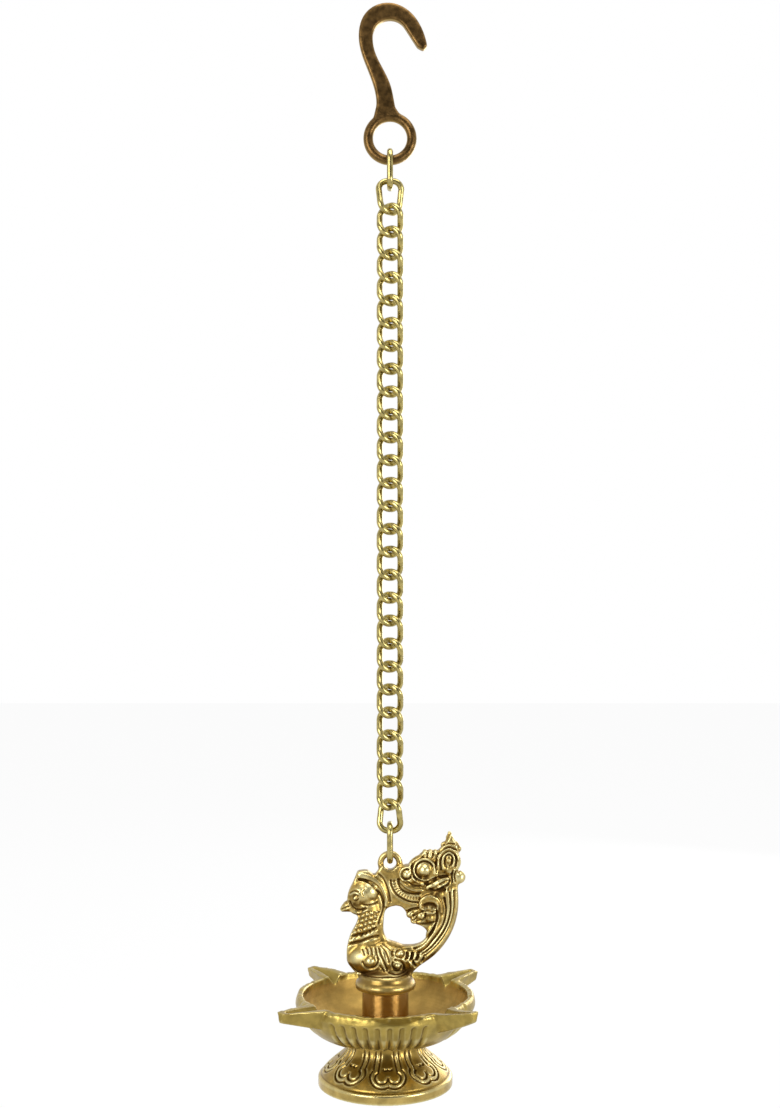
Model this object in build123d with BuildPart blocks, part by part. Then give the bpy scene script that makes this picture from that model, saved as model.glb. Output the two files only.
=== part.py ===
from build123d import *
import os
from math import cos, radians, sin

# Hanging chain oil lamp in cast brass: hook, curb chain, peacock figure, bowl with four wick spouts, foot.
# The origin is the centre of the hook's throat. The chain hangs along -Z, and -Y is the front.
# All lengths are millimetres.

os.makedirs("parts", exist_ok=True)

# Hook: a flat cast bar with a round eye
throat_radius = 9.0
hook_depth = 4.8
hook_round = 1.2
tip_round = 1.1
lip_angle = 32.5
lip_length = 12.2
eye_drop = 53.0
eye_hole_radius = 8.8
eye_bar = 5.2

# Chain
wire = 3.2
chain_clearance = 0.15
link_width = 14.0
link_pitch = 11.92
link_bend = 4.5
link_count = 28
curb_turn = 45.0
first_link_width = 15.0
first_link_length = 19.5
ring_link_length = 21.8
ring_link_width = 14.0
ring_link_bend = 4.4

# Lug on the figure, which the lowest ring link passes through
lug_hole_radius = 3.15
lug_bar = 3.5

# Lamp: the axis of the turned pieces stands to the left of the lug, over the centre of mass
axis_offset = 2.4
figure_height = 60.0
flange_drop_share = 0.943
flange_neck_radius = 13.8
flange_neck_height = 3.4
flange_radius = 15.6
flange_height = 4.6
flange_round = 1.2
post_radius = 12.0
rim_below_flange = 2.4

# Bowl
bowl_radius = 46.8
rim_width = 4.2
bowl_height = 22.0
bowl_floor = 4.6
bowl_band_height = 6.0
bowl_base_radius = 22.0
bowl_wall = 3.2
rim_round = 1.6
flute_radius = 1.3
flutes_between_spouts = 9
flute_step = 7.6

# Wick spouts
spout_count = 4
bowl_turn = -4.7
spout_reach = 67.5
spout_rise = 2.4
spout_root_width = 18.5
spout_root_height = 11.5
spout_tip_width = 5.4
spout_tip_height = 5.2
spout_bottom_share = 0.42
spout_round = 0.6
channel_root_width = 12.5
channel_root_depth = 8.5
channel_tip_width = 2.4
channel_tip_depth = 1.6
channel_end_wall = 3.4

# Foot
foot_height = 24.4
foot_neck_radius = 20.0
foot_radius = 34.7
foot_rim_height = 6.2
foot_wall = 3.0
foot_web = 4.0
foot_groove = 0.9

# Tie stud, washer and nut
stud_radius = 3.0
stud_clearance = 0.12
stud_grip = 10.0
stud_past_nut = 2.0
washer_radius = 8.0
washer_thickness = 1.2
nut_height = 5.0
nut_across_flats = 10.0

# Heights that follow from the sizes above
eye_radius = eye_hole_radius + eye_bar / 2
bowl_mouth_radius = bowl_radius - rim_width
wire_radius = wire / 2
wire_step = wire + chain_clearance
top_link_top = -eye_drop - eye_hole_radius + chain_clearance + wire_radius
top_link_centre = top_link_top - (ring_link_length - wire) / 2
top_link_bottom = top_link_centre - (ring_link_length - wire) / 2
first_link_top = top_link_bottom + wire_step
first_link_centre = first_link_top - (first_link_length - wire) / 2
first_link_bottom = first_link_centre - (first_link_length - wire) / 2
link_length = link_pitch + wire_step + wire
second_link_centre = first_link_bottom + wire_step - (link_length - wire) / 2
last_link_bottom = second_link_centre - (link_count - 2) * link_pitch - (link_length - wire) / 2
bottom_link_top = last_link_bottom + wire_step
bottom_link_centre = bottom_link_top - (ring_link_length - wire) / 2
bottom_link_bottom = bottom_link_centre - (ring_link_length - wire) / 2
lug_centre = bottom_link_bottom + wire_radius + chain_clearance - lug_hole_radius
lug_radius = lug_hole_radius + lug_bar / 2
flange_top = lug_centre - flange_drop_share * figure_height
flange_bottom = flange_top - flange_neck_height - flange_height
rim_height = flange_bottom - rim_below_flange
bowl_bottom = rim_height - bowl_height
bowl_floor_top = bowl_bottom + bowl_floor
foot_bottom = bowl_bottom - foot_height
web_bottom = bowl_bottom - foot_web
washer_bottom = web_bottom - washer_thickness
nut_bottom = washer_bottom - nut_height
bore_radius = stud_radius + stud_clearance
lamp_plane = Plane((-axis_offset, 0, 0))
lamp_axis = Axis((-axis_offset, 0, 0), (0, 0, 1))
lamp_side = Plane((-axis_offset, 0, 0), x_dir=(1, 0, 0), z_dir=(0, -1, 0))


def link_corners(width, length, top_turn, bottom_turn, centre):
    """Corners of the bent wire, whose ends lie across the chain at the two turns, in degrees."""
    half_length = (length - wire) / 2
    reach = (width - wire) / 2 / cos(radians(top_turn - bottom_turn) / 2)
    top = (reach * cos(radians(top_turn)), reach * sin(radians(top_turn)))
    bottom = (reach * cos(radians(bottom_turn)), reach * sin(radians(bottom_turn)))
    return [
        (top[0], top[1], centre + half_length),
        (bottom[0], bottom[1], centre - half_length),
        (-bottom[0], -bottom[1], centre - half_length),
        (-top[0], -top[1], centre + half_length),
    ]


def wire_link(corners, bend):
    """A closed link of round wire: one half from crown to crown, and the same half turned about the chain."""
    top_middle = (0, 0, corners[0][2])
    bottom_middle = (0, 0, corners[1][2])
    with BuildPart() as link:
        with BuildLine() as run:
            FilletPolyline(top_middle, corners[0], corners[1], bottom_middle, radius=bend)
        with BuildSketch(Plane(origin=run.line @ 0, z_dir=run.line % 0)):
            Circle(wire_radius)
        sweep()
        add(link.part.rotate(Axis.Z, 180))
    return link.part


# Hook. Points of the outline as shares of the throat's radius, from the neck round the back to the tip.
neck_left_share = (-0.80, -4.0)
back_shares = [(-1.33, -1.8), (-1.82, 0.0), (-1.37, 1.46), (-0.10, 2.0), (1.10, 1.53), (1.86, 0.49)]
tip_outer_share = (2.17, -0.53)
tip_end_share = (1.93, -0.80)
inner_shares = [(-0.48, -1.7), (0.0, -2.7)]
neck_right_share = (0.31, -4.1)
eye_left_angle = 150.0
eye_right_angle = 30.0


def in_throats(share):
    """A point of the hook's outline from its shares of the throat's radius."""
    return (share[0] * throat_radius, share[1] * throat_radius)


with BuildPart() as hook:
    with BuildSketch(Plane.XZ) as hook_outline:
        with BuildLine():
            back = Spline(
                in_throats(neck_left_share), *[in_throats(share) for share in back_shares],
                in_throats(tip_outer_share),
            )
            throat = CenterArc((0, 0), throat_radius, lip_angle, 180 - lip_angle)
            lip = PolarLine(throat @ 0, lip_length, lip_angle - 90)
            Polyline(in_throats(tip_outer_share), in_throats(tip_end_share), lip @ 1)
            inner = Spline(
                throat @ 1, *[in_throats(share) for share in inner_shares], in_throats(neck_right_share),
                tangents=((0, -1), (0.2, -1)),
            )
            eye_top = CenterArc((0, -eye_drop), eye_radius, eye_right_angle, eye_left_angle - eye_right_angle)
            Line(inner @ 1, eye_top @ 0)
            Line(eye_top @ 1, back @ 0)
        make_face()
        fillet(hook_outline.vertices().sort_by(Axis.X)[-2:], tip_round)
    extrude(amount=hook_depth / 2, both=True)
    fillet(hook.faces().filter_by(Axis.Y).edges(), hook_round)
    with Locations(Location((0, 0, -eye_drop), (90, 0, 0))):
        Torus(eye_radius, eye_bar / 2)
hook.part.label = "hook"
export_step(hook.part, "parts/hook.step")

# Ring links, edge-on from the front
ring_turn = 90.0
ring_links = {"top_link": top_link_centre, "bottom_link": bottom_link_centre}
for name, centre in ring_links.items():
    corners = link_corners(ring_link_width, ring_link_length, ring_turn, ring_turn, centre)
    ring_link = wire_link(corners, ring_link_bend)
    ring_link.label = name
    export_step(ring_link, f"parts/{name}.step")

# Curb links, numbered from the lamp up. The first and last have one end square to the ring links.
for place in range(link_count):
    top_turn = 0.0 if place == 0 else -curb_turn
    bottom_turn = 0.0 if place == link_count - 1 else curb_turn
    width = first_link_width if place == 0 else link_width
    length = first_link_length if place == 0 else link_length
    centre = first_link_centre if place == 0 else second_link_centre - (place - 1) * link_pitch
    curb_link = wire_link(link_corners(width, length, top_turn, bottom_turn, centre), link_bend)
    curb_link.label = f"link_{link_count - place:02d}"
    export_step(curb_link, f"parts/{curb_link.label}.step")

# Peacock figure. Its outline and forms are shares of the figure's height, from the lug's centre down.
figure_depth = 6.4
body_radius = 9.5
neck_width = 12.0
head_width = 14.4
tail_width = 9.2
scroll_depth = 9.6
crown_shares = [
    (-0.283, -0.065), (-0.195, -0.058), (-0.135, -0.105), (-0.075, -0.020), (0.075, -0.020), (0.165, -0.012),
    (0.205, 0.035), (0.27, 0.070), (0.30, 0.112), (0.35, 0.095), (0.41, 0.105), (0.45, 0.145), (0.49, 0.19),
    (0.523, 0.262),
]
tail_edge_shares = [
    (0.523, 0.262), (0.56, 0.20), (0.595, 0.10), (0.585, -0.06), (0.585, -0.20), (0.588, -0.30),
    (0.572, -0.42), (0.54, -0.53), (0.483, -0.65), (0.40, -0.75), (0.30, -0.84), (0.20, -0.93), (0.16, -1.0),
]
breast_shares = [
    (-0.21, -1.0), (-0.275, -0.955), (-0.335, -0.89), (-0.372, -0.80), (-0.367, -0.70), (-0.335, -0.60),
    (-0.29, -0.515), (-0.275, -0.44),
]
face_shares = [
    (-0.275, -0.44), (-0.335, -0.418), (-0.368, -0.335), (-0.365, -0.267), (-0.333, -0.19), (-0.30, -0.117),
    (-0.283, -0.065),
]
gap_shares = [
    (-0.025, -0.385), (0.033, -0.363), (0.10, -0.372), (0.145, -0.43), (0.20, -0.497), (0.275, -0.537),
    (0.315, -0.575), (0.312, -0.64), (0.255, -0.69), (0.12, -0.705), (0.0, -0.68), (-0.052, -0.60),
    (-0.053, -0.48),
]
body_share = (-0.092, -0.815)
body_length_share = 0.285
head_share = (-0.238, -0.262)
beak_base_share = (-0.308, -0.352)
beak_tip_share = (-0.410, -0.400)
neck_shares = [(-0.225, -0.267), (-0.165, -0.467), (-0.200, -0.72)]
tail_shares = [(0.10, -0.855), (0.415, -0.645), (0.508, -0.233)]
# Scrolls and knobs: place in the outline, then radius
scroll_shares = [
    ((0.512, 0.022), 0.10), ((0.302, -0.050), 0.103), ((0.163, -0.090), 0.070), ((0.338, -0.355), 0.083),
]
knob_shares = [((0.600, -0.123), 0.055), ((0.368, -0.208), 0.085), ((0.26, -0.45), 0.085)]
beak_radius = 4.2
beak_tip_radius = 1.4
finial_radius = 3.0
finial_tip_radius = 0.9
# Beak and finial: foot and tip in the outline, then the two radii
cone_shares = [
    (beak_base_share, beak_tip_share, beak_radius, beak_tip_radius),
    ((0.515, 0.10), (0.523, 0.262), finial_radius, finial_tip_radius),
]


def in_figure(share):
    """A point of the figure's front view from its shares of the figure's height, measured from the lug."""
    return (share[0] * figure_height, lug_centre + share[1] * figure_height)


def figure_point(share):
    """The same point in space, in the figure's middle plane."""
    across, height = in_figure(share)
    return (across, 0, height)


with BuildPart() as peacock:
    with BuildSketch(Plane.XZ):
        with BuildLine():
            Polyline(*[in_figure(share) for share in crown_shares])
            Spline(*[in_figure(share) for share in tail_edge_shares])
            Line(in_figure(tail_edge_shares[-1]), in_figure(breast_shares[0]))
            Spline(*[in_figure(share) for share in breast_shares])
            Spline(*[in_figure(share) for share in face_shares])
        make_face()
        with BuildLine():
            Spline(*[in_figure(share) for share in gap_shares], periodic=True)
        make_face(mode=Mode.SUBTRACT)
    extrude(amount=figure_depth / 2, both=True)
    # Body: an egg lying along the figure
    with BuildSketch(Plane.XZ):
        with Locations(in_figure(body_share)):
            Ellipse(body_length_share * figure_height, body_radius)
            Rectangle(
                2 * body_length_share * figure_height, body_radius, align=(Align.CENTER, Align.MAX),
                mode=Mode.SUBTRACT,
            )
    revolve(axis=Axis(figure_point(body_share), (1, 0, 0)))
    # Neck and tail: round bars bent to an arc
    for bar_shares, bar_width in ((neck_shares, neck_width), (tail_shares, tail_width)):
        with BuildLine() as bar_line:
            ThreePointArc(*[figure_point(share) for share in bar_shares])
        with BuildSketch(Plane(origin=bar_line.line @ 0, z_dir=bar_line.line % 0)):
            Circle(bar_width / 2)
        sweep()
        with Locations(bar_line.line @ 1):
            Sphere(bar_width / 2)
    with Locations(figure_point(head_share)):
        Sphere(head_width / 2)
    # Beak and finial: pointed cones
    for base_share, tip_share, base_radius, tip_radius in cone_shares:
        base_point = Vector(*figure_point(base_share))
        tip_point = Vector(*figure_point(tip_share))
        with BuildSketch(Plane(origin=base_point, z_dir=tip_point - base_point)):
            Circle(base_radius)
        with BuildSketch(Plane(origin=tip_point, z_dir=tip_point - base_point)):
            Circle(tip_radius)
        loft()
    for place_share, radius_share in scroll_shares:
        with BuildSketch(Plane.XZ):
            with Locations(in_figure(place_share)):
                Circle(radius_share * figure_height)
        extrude(amount=scroll_depth / 2, both=True)
    for place_share, radius_share in knob_shares:
        with Locations(figure_point(place_share)):
            Sphere(radius_share * figure_height)
    with Locations(Location((0, 0, lug_centre), (90, 0, 0))):
        Torus(lug_radius, lug_bar / 2)
        Cylinder(lug_hole_radius, 2 * scroll_depth, mode=Mode.SUBTRACT)
    # Turned flange with the stud's blind hole
    with BuildSketch(lamp_side):
        with BuildLine():
            Polyline(
                (0, flange_top + body_radius / 2),
                (flange_neck_radius / 2, flange_top + body_radius / 2),
                (flange_neck_radius - flange_round, flange_top),
                (flange_neck_radius, flange_top - flange_round),
                (flange_neck_radius, flange_top - flange_neck_height),
                (flange_radius - flange_round, flange_bottom + flange_height),
                (flange_radius, flange_bottom + flange_height - flange_round),
                (flange_radius, flange_bottom + flange_round / 2),
                (flange_radius - flange_round / 2, flange_bottom),
                (0, flange_bottom),
                close=True,
            )
        make_face()
    revolve(axis=lamp_axis)
    with Locations((-axis_offset, 0, flange_bottom)):
        Cylinder(
            bore_radius, stud_grip + stud_clearance, align=(Align.CENTER, Align.CENTER, Align.MIN),
            mode=Mode.SUBTRACT,
        )
peacock.part.label = "peacock"
export_step(peacock.part, "parts/peacock.step")

# Post between the bowl's floor and the figure
with BuildPart() as post:
    with Locations((-axis_offset, 0, bowl_floor_top)):
        Cylinder(post_radius, flange_bottom - bowl_floor_top, align=(Align.CENTER, Align.CENTER, Align.MIN))
        Cylinder(
            bore_radius, flange_bottom - bowl_floor_top, align=(Align.CENTER, Align.CENTER, Align.MIN),
            mode=Mode.SUBTRACT,
        )
post.part.label = "post"
export_step(post.part, "parts/post.step")

# Bowl: the turned outside and the spouts first, then its hollow, channels and flutes
underside_bulge_share = (0.66, 0.30)
hollow_bulge_share = (0.76, 0.26)
band_foot = (bowl_radius - rim_round / 2, rim_height - bowl_band_height)
underside_middle = (
    bowl_base_radius + (band_foot[0] - bowl_base_radius) * underside_bulge_share[0],
    bowl_bottom + (band_foot[1] - bowl_bottom) * underside_bulge_share[1],
)
hollow_foot = bowl_base_radius - bowl_wall
hollow_middle = (
    hollow_foot + (bowl_mouth_radius - hollow_foot) * hollow_bulge_share[0],
    bowl_floor_top + (rim_height - bowl_floor_top) * hollow_bulge_share[1],
)
overrun = 1.0
flute_start = (bowl_base_radius + flute_radius, bowl_bottom)
spout_step = 360 / spout_count
spout_first = spout_step / 2 + bowl_turn

with BuildPart() as spout:
    for reach, width, height, top in (
        (bowl_mouth_radius - bowl_wall, spout_root_width, spout_root_height, rim_height),
        (spout_reach, spout_tip_width, spout_tip_height, rim_height + spout_rise),
    ):
        with BuildSketch(Plane((reach, 0, top), x_dir=(0, 1, 0), z_dir=(1, 0, 0))):
            Polygon(
                (-width / 2, 0), (width / 2, 0), (width * spout_bottom_share / 2, -height),
                (-width * spout_bottom_share / 2, -height), align=None,
            )
    loft()
    fillet(spout.faces().sort_by(Axis.X)[-1].edges(), spout_round)

with BuildPart() as channel:
    for reach, width, depth, top in (
        (bowl_mouth_radius - channel_root_width, channel_root_width, channel_root_depth, rim_height),
        (spout_reach - channel_end_wall, channel_tip_width, channel_tip_depth, rim_height + spout_rise),
    ):
        with BuildSketch(Plane((reach, 0, top), x_dir=(0, 1, 0), z_dir=(1, 0, 0))):
            Polygon(
                (-width / 2, overrun), (width / 2, overrun), (width / 2, 0), (0, -depth), (-width / 2, 0),
                align=None,
            )
    loft()

with BuildPart() as flute:
    with BuildLine() as flute_line:
        ThreePointArc(
            (flute_start[0], 0, flute_start[1]), (underside_middle[0], 0, underside_middle[1]),
            (band_foot[0], 0, band_foot[1]),
        )
    with BuildSketch(Plane(origin=flute_line.line @ 0, z_dir=flute_line.line % 0)):
        Circle(flute_radius)
    sweep()
    with Locations(flute_line.line @ 1):
        Sphere(flute_radius)

with BuildPart() as bowl:
    with BuildSketch(Plane.XZ):
        with BuildLine():
            Line((0, bowl_bottom), (bowl_base_radius, bowl_bottom))
            ThreePointArc((bowl_base_radius, bowl_bottom), underside_middle, band_foot)
            Polyline(
                band_foot,
                (bowl_radius, rim_height - bowl_band_height + rim_round),
                (bowl_radius, rim_height - rim_round),
            )
            CenterArc((bowl_radius - rim_round, rim_height - rim_round), rim_round, 0, 90)
            Line((bowl_radius - rim_round, rim_height), (0, rim_height))
            Line((0, rim_height), (0, bowl_bottom))
        make_face()
    revolve(axis=Axis.Z)
    for number in range(spout_count):
        add(spout.part.rotate(Axis.Z, spout_first + number * spout_step))
    with BuildSketch(Plane.XZ):
        with BuildLine():
            Line((0, bowl_floor_top), (hollow_foot, bowl_floor_top))
            ThreePointArc((hollow_foot, bowl_floor_top), hollow_middle, (bowl_mouth_radius, rim_height))
            Line((bowl_mouth_radius, rim_height), (bowl_mouth_radius, rim_height + overrun))
            Line((bowl_mouth_radius, rim_height + overrun), (0, rim_height + overrun))
            Line((0, rim_height + overrun), (0, bowl_floor_top))
        make_face()
    revolve(axis=Axis.Z, mode=Mode.SUBTRACT)
    for number in range(spout_count):
        turn = spout_first + number * spout_step
        add(channel.part.rotate(Axis.Z, turn), mode=Mode.SUBTRACT)
        for groove in range(flutes_between_spouts):
            groove_turn = turn + spout_step / 2 + (groove - (flutes_between_spouts - 1) / 2) * flute_step
            add(flute.part.rotate(Axis.Z, groove_turn), mode=Mode.SUBTRACT)
    with Locations((0, 0, bowl_bottom)):
        Cylinder(bore_radius, bowl_floor, align=(Align.CENTER, Align.CENTER, Align.MIN), mode=Mode.SUBTRACT)
placed_bowl = bowl.part.moved(Location((-axis_offset, 0, 0)))
placed_bowl.label = "bowl"
export_step(placed_bowl, "parts/bowl.step")

# Foot: a flared pedestal, hollow beneath, with a web for the stud
flare_shares = [(0.05, 0.36), (0.354, 0.60), (0.74, 0.87)]
foot_shoulder = foot_bottom + foot_rim_height
flare_points = [
    (
        foot_neck_radius + (foot_radius - foot_neck_radius) * out_share,
        bowl_bottom - (foot_height - foot_rim_height) * down_share,
    )
    for out_share, down_share in flare_shares
]
with BuildPart() as foot:
    with BuildSketch(lamp_side):
        with BuildLine():
            Line((0, bowl_bottom), (foot_neck_radius, bowl_bottom))
            Spline(
                (foot_neck_radius, bowl_bottom), *flare_points, (foot_radius - 2 * foot_groove, foot_shoulder)
            )
            Polyline(
                (foot_radius - 2 * foot_groove, foot_shoulder),
                (foot_radius - 2 * foot_groove, foot_shoulder - foot_groove),
                (foot_radius - foot_groove, foot_shoulder - foot_groove),
                (foot_radius, foot_shoulder - 2 * foot_groove),
                (foot_radius, foot_bottom),
                (foot_radius - foot_wall, foot_bottom),
                (foot_radius - foot_wall - foot_groove, foot_shoulder - foot_groove),
                (flare_points[0][0] - foot_wall, flare_points[0][1]),
                (flare_points[0][0] - foot_wall, web_bottom),
                (0, web_bottom),
                (0, bowl_bottom),
            )
        make_face()
    revolve(axis=lamp_axis)
    with Locations((-axis_offset, 0, web_bottom)):
        Cylinder(bore_radius, foot_web, align=(Align.CENTER, Align.CENTER, Align.MIN), mode=Mode.SUBTRACT)
foot.part.label = "foot"
export_step(foot.part, "parts/foot.step")

# Tie stud from the figure down through post, bowl and foot, with its washer and nut
stud_top = flange_bottom + stud_grip
stud_bottom = nut_bottom - stud_past_nut
with BuildPart() as tie_stud:
    with Locations((-axis_offset, 0, stud_bottom)):
        Cylinder(stud_radius, stud_top - stud_bottom, align=(Align.CENTER, Align.CENTER, Align.MIN))
    chamfer(tie_stud.edges().filter_by(GeomType.CIRCLE), stud_clearance * 4)
tie_stud.part.label = "tie_stud"
export_step(tie_stud.part, "parts/tie_stud.step")

with BuildPart() as washer:
    with Locations((-axis_offset, 0, washer_bottom)):
        Cylinder(washer_radius, washer_thickness, align=(Align.CENTER, Align.CENTER, Align.MIN))
        Cylinder(
            bore_radius, washer_thickness, align=(Align.CENTER, Align.CENTER, Align.MIN), mode=Mode.SUBTRACT
        )
washer.part.label = "washer"
export_step(washer.part, "parts/washer.step")

with BuildPart() as nut:
    with BuildSketch(lamp_plane.offset(nut_bottom)):
        RegularPolygon(nut_across_flats / 2, 6, major_radius=False)
        Circle(bore_radius, mode=Mode.SUBTRACT)
    extrude(amount=nut_height)
nut.part.label = "nut"
export_step(nut.part, "parts/nut.step")

print("lug centre", round(lug_centre, 2), "rim", round(rim_height, 2), "foot", round(foot_bottom, 2))
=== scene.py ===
"""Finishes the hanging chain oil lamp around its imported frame: cast figure, bowl, foot, metals and studio."""

import math

import bmesh
import bpy
import numpy as np
from bpy.props import FloatProperty, FloatVectorProperty, IntProperty, PointerProperty
from mathutils import Matrix, Vector
from mathutils.bvhtree import BVHTree


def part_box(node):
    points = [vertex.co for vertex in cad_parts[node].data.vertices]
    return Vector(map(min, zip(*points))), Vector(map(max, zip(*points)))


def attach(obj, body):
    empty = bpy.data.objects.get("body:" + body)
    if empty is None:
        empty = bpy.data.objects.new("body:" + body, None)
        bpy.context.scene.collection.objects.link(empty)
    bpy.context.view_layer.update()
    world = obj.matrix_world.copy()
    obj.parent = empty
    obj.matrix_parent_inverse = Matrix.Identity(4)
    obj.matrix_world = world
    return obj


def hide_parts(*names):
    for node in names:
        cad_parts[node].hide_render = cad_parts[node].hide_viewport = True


bl_info = {
    "name": "Hanging chain oil lamp",
    "version": (1, 0, 0),
    "blender": (4, 5, 0),
    "location": "View3D > Sidebar > Lamp",
    "description": "Models and finishes a brass oil lamp on its packed frame",
    "category": "Add Mesh",
}

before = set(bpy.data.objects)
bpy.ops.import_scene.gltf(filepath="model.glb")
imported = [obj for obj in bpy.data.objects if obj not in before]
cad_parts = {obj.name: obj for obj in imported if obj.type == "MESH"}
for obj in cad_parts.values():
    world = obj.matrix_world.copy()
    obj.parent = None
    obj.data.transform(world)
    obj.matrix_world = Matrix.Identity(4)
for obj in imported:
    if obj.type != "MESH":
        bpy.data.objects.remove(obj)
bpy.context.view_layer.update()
MM = 0.001

# Places read from the frame
POST_LOW, POST_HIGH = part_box("post")
LINK_LOW, LINK_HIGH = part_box("bottom_link")
BOWL_LOW, BOWL_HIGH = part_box("bowl")
FOOT_LOW, FOOT_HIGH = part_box("foot")
AXIS_X = (POST_LOW.x + POST_HIGH.x) / 2
WIRE = LINK_HIGH.x - LINK_LOW.x
FOOT_RADIUS = (FOOT_HIGH.x - FOOT_LOW.x) / 2
# The lug on the bird: its hole's radius, the play of the ring link's wire in it, and its centre's height
LUG_HOLE = 3.15 * MM
LUG_PLAY = 0.15 * MM
LUG_Z = LINK_LOW.z + WIRE + LUG_PLAY - LUG_HOLE
# The flange at the bird's base, which caps the post
FLANGE_HEIGHT = 8.0 * MM
FLANGE_TOP = POST_HIGH.z + FLANGE_HEIGHT
# The bowl: its radius outside and at the mouth, how far its spouts reach and rise over the rim, and the degrees by
# which it is turned clockwise, seen from above, from spouts on the diagonals
BOWL_RADIUS = 46.8 * MM
MOUTH_RADIUS = 42.2 * MM
SPOUT_REACH = 67.5 * MM
SPOUT_RISE = 2.4 * MM
RIM_Z = BOWL_HIGH.z - SPOUT_RISE
BOWL_TURN = 4.7
# The photograph's view: how far the camera stands from the chain, and at what height
VIEW_DISTANCE = 780 * MM
VIEW_HEIGHT = -280.8 * MM


def linear(hex_colour):
    """Linear RGBA of an sRGB hex colour."""
    channels = [int(hex_colour[i:i + 2], 16) / 255 for i in (1, 3, 5)]
    toe, slope, offset, power = 0.04045, 12.92, 0.055, 2.4
    return tuple(c / slope if c <= toe else ((c + offset) / (1 + offset)) ** power for c in channels) + (1.0,)


def colour_setting(name, description, hex_colour):
    """A colour that the user can change."""
    return FloatVectorProperty(
        name=name, description=description, subtype="COLOR", size=4, min=0, max=1, default=linear(hex_colour)
    )


def length_setting(name, description, default):
    """A length that the user can change."""
    return FloatProperty(name=name, description=description, default=default, unit="LENGTH")


def passes_setting(name, description, default):
    """A number of smoothing passes that the user can change."""
    return IntProperty(name=name, description=description, default=default, min=0)


class LampFinish(bpy.types.PropertyGroup):
    """Colours of the metals."""

    hook: colour_setting("Hook", "Antique brown brass of the hook", "#6E5430")
    # Also paints highlights on the hook's edges
    hook_rubbed_and_highlight: colour_setting("Hook, rubbed", "Brass where the hook's edges are rubbed", "#A88C52")
    chain: colour_setting("Chain", "Drawn brass wire of the chain", "#BDAD6E")
    figure: colour_setting("Figure", "Cast brass of the peacock", "#BA9C55")
    # Also the colour of the painted highlights on the figure
    wear_and_highlight: colour_setting("Worn edges", "Pale brass on edges that handling has polished", "#E8DEA6")
    # Also the colour of the painted shade in the crease over the flange
    patina_and_shade: colour_setting("Patina", "Dark patina in the recesses", "#341903")
    bowl: colour_setting("Bowl outside", "Satin cast brass of the bowl", "#AF9850")
    # Also the colour of the painted dark reflection under the bowl's front rim
    bowl_patina_and_reflection: colour_setting("Bowl patina", "Olive patina in the bowl's flutes", "#5C4919")
    hollow: colour_setting("Bowl inside", "Turned copper-brown hollow of the bowl", "#B49450")
    post: colour_setting("Post", "Browned turned brass of the post", "#9C7840")
    foot: colour_setting("Foot", "Browned cast brass of the petals", "#AE9048")
    foot_rim: colour_setting("Foot rim", "Polished brass of the foot's rim", "#C4AA64")
    steel: colour_setting("Steel", "Zinc plated stud, washer and nut", "#B9B9B4")


class LampHook(bpy.types.PropertyGroup):
    """Sizes of the hook's casting."""

    voxel: length_setting("Grain", "Grid of the finished casting", 0.5 * MM)
    softness: passes_setting("Softness", "Smoothing passes of the casting", 10)


class LampFigure(bpy.types.PropertyGroup):
    """Sizes of the cast peacock."""

    body_voxel: length_setting("Body grain", "Grid on which the main forms melt together", 0.6 * MM)
    fine_voxel: length_setting("Fine grain", "Grid of the finished casting", 0.37 * MM)
    body_softness: passes_setting("Body softness", "Smoothing passes of the main forms", 14)
    fine_softness: passes_setting("Fine softness", "Smoothing passes of the finished casting", 2)


class LampBowl(bpy.types.PropertyGroup):
    """Sizes of the bowl's casting."""

    voxel: length_setting("Grain", "Grid of the finished casting", 0.6 * MM)
    softness: passes_setting("Softness", "Smoothing passes of the casting", 3)
    band_slope: length_setting("Band slope", "How far the band leans in at the rim", 0.9 * MM)
    unevenness: length_setting("Unevenness", "How far the rim wanders", 0.35 * MM)


class LampFoot(bpy.types.PropertyGroup):
    """Sizes of the foot's casting and of its lotus petals."""

    voxel: length_setting("Grain", "Grid of the finished casting", 0.42 * MM)
    softness: passes_setting("Softness", "Smoothing passes of the casting", 2)
    petals: IntProperty(name="Petals", description="Petals round the foot", default=8, min=3)
    groove_depth: length_setting("Groove depth", "Depth of the petals' outlines", 0.8 * MM)
    groove_width: length_setting("Groove width", "Half width of an outline", 0.5 * MM)


class LampStage(bpy.types.PropertyGroup):
    """Studio round the lamp."""

    distance: length_setting("Camera distance", "From the camera to the chain", VIEW_DISTANCE)
    eye_height: length_setting("Camera height", "Height of the camera above the hook's throat", VIEW_HEIGHT)
    floor_gap: length_setting("Floor gap", "From the foot down to the floor", 60 * MM)


SETTINGS = (LampFinish, LampHook, LampFigure, LampBowl, LampFoot, LampStage)


def settings(kind):
    """The scene's property group of one kind."""
    return getattr(bpy.context.scene, kind.__name__.lower())


# Meshes

def piece_from(bm, name):
    """A new object from a bmesh, at the origin."""
    mesh = bpy.data.meshes.new(name)
    bm.to_mesh(mesh)
    bm.free()
    piece = bpy.data.objects.new(name, mesh)
    bpy.context.scene.collection.objects.link(piece)
    return piece


def welded_copy(node):
    """A bmesh copy of a CAD node with its doubles merged."""
    bm = bmesh.new()
    bm.from_mesh(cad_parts[node].data)
    bmesh.ops.remove_doubles(bm, verts=bm.verts, dist=MM / 200)
    return bm


def apply_modifiers(piece):
    """Replaces the piece's mesh by its finished one."""
    evaluated = piece.evaluated_get(bpy.context.evaluated_depsgraph_get())
    finished = bpy.data.meshes.new_from_object(evaluated)
    piece.modifiers.clear()
    old = piece.data
    piece.data = finished
    bpy.data.meshes.remove(old)
    return piece


def recast(piece, voxel, passes):
    """Melts a piece's forms into one skin, as a casting, and softens it."""
    melt = piece.modifiers.new("Melt", "REMESH")
    melt.mode = "VOXEL"
    melt.voxel_size = voxel
    if passes:
        soften = piece.modifiers.new("Soften", "SMOOTH")
        soften.factor = 0.5
        soften.iterations = passes
    apply_modifiers(piece)
    piece.data.shade_smooth()
    return piece


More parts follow.
